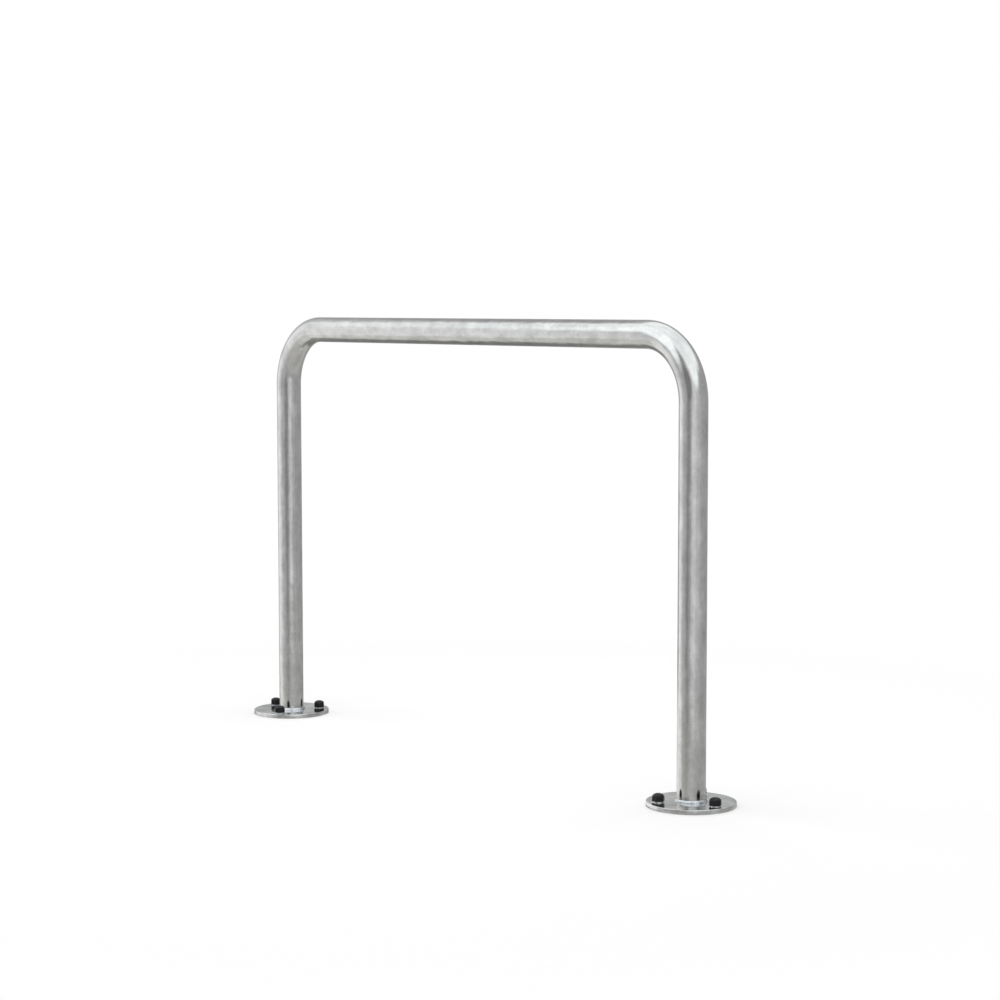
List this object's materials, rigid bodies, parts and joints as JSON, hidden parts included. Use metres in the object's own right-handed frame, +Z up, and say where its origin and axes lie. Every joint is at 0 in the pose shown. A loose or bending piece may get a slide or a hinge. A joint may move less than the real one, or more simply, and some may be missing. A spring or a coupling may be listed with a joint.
{
  "type": "hoop bike rack",
  "caption": "Bike rack: a galvanised steel tube bent into a round-shouldered hoop on bolted round base plates, for leaning and locking a bicycle.",
  "frame": {"origin": "on the ground, midway between the two posts", "axes": "+X along the rail from the left post to the right post, +Y across the rack, +Z up"},
  "size_m": [1.3016, 0.15, 0.8],
  "materials": {
    "galvanised_steel": "satin",
    "zinc_plated_steel": "satin",
    "black_plastic": "matte"
  },
  "bodies": {
    "root": {"hoop_tube": "galvanised_steel", "base_plate_left": "galvanised_steel", "base_plate_right": "galvanised_steel", "foot_weld_left": "galvanised_steel", "foot_weld_right": "galvanised_steel", "anchor_stud_left_1": "zinc_plated_steel", "anchor_stud_left_2": "zinc_plated_steel", "anchor_stud_left_3": "zinc_plated_steel", "anchor_stud_right_1": "zinc_plated_steel", "anchor_stud_right_2": "zinc_plated_steel", "anchor_stud_right_3": "zinc_plated_steel", "washer_left_1": "zinc_plated_steel", "washer_left_2": "zinc_plated_steel", "washer_left_3": "zinc_plated_steel", "washer_right_1": "zinc_plated_steel", "washer_right_2": "zinc_plated_steel", "washer_right_3": "zinc_plated_steel", "hex_nut_left_1": "zinc_plated_steel", "hex_nut_left_2": "zinc_plated_steel", "hex_nut_left_3": "zinc_plated_steel", "hex_nut_right_1": "zinc_plated_steel", "hex_nut_right_2": "zinc_plated_steel", "hex_nut_right_3": "zinc_plated_steel", "nut_cap_left_1": "black_plastic", "nut_cap_left_2": "black_plastic", "nut_cap_left_3": "black_plastic", "nut_cap_right_1": "black_plastic", "nut_cap_right_2": "black_plastic", "nut_cap_right_3": "black_plastic"}
  },
  "joints": []
}
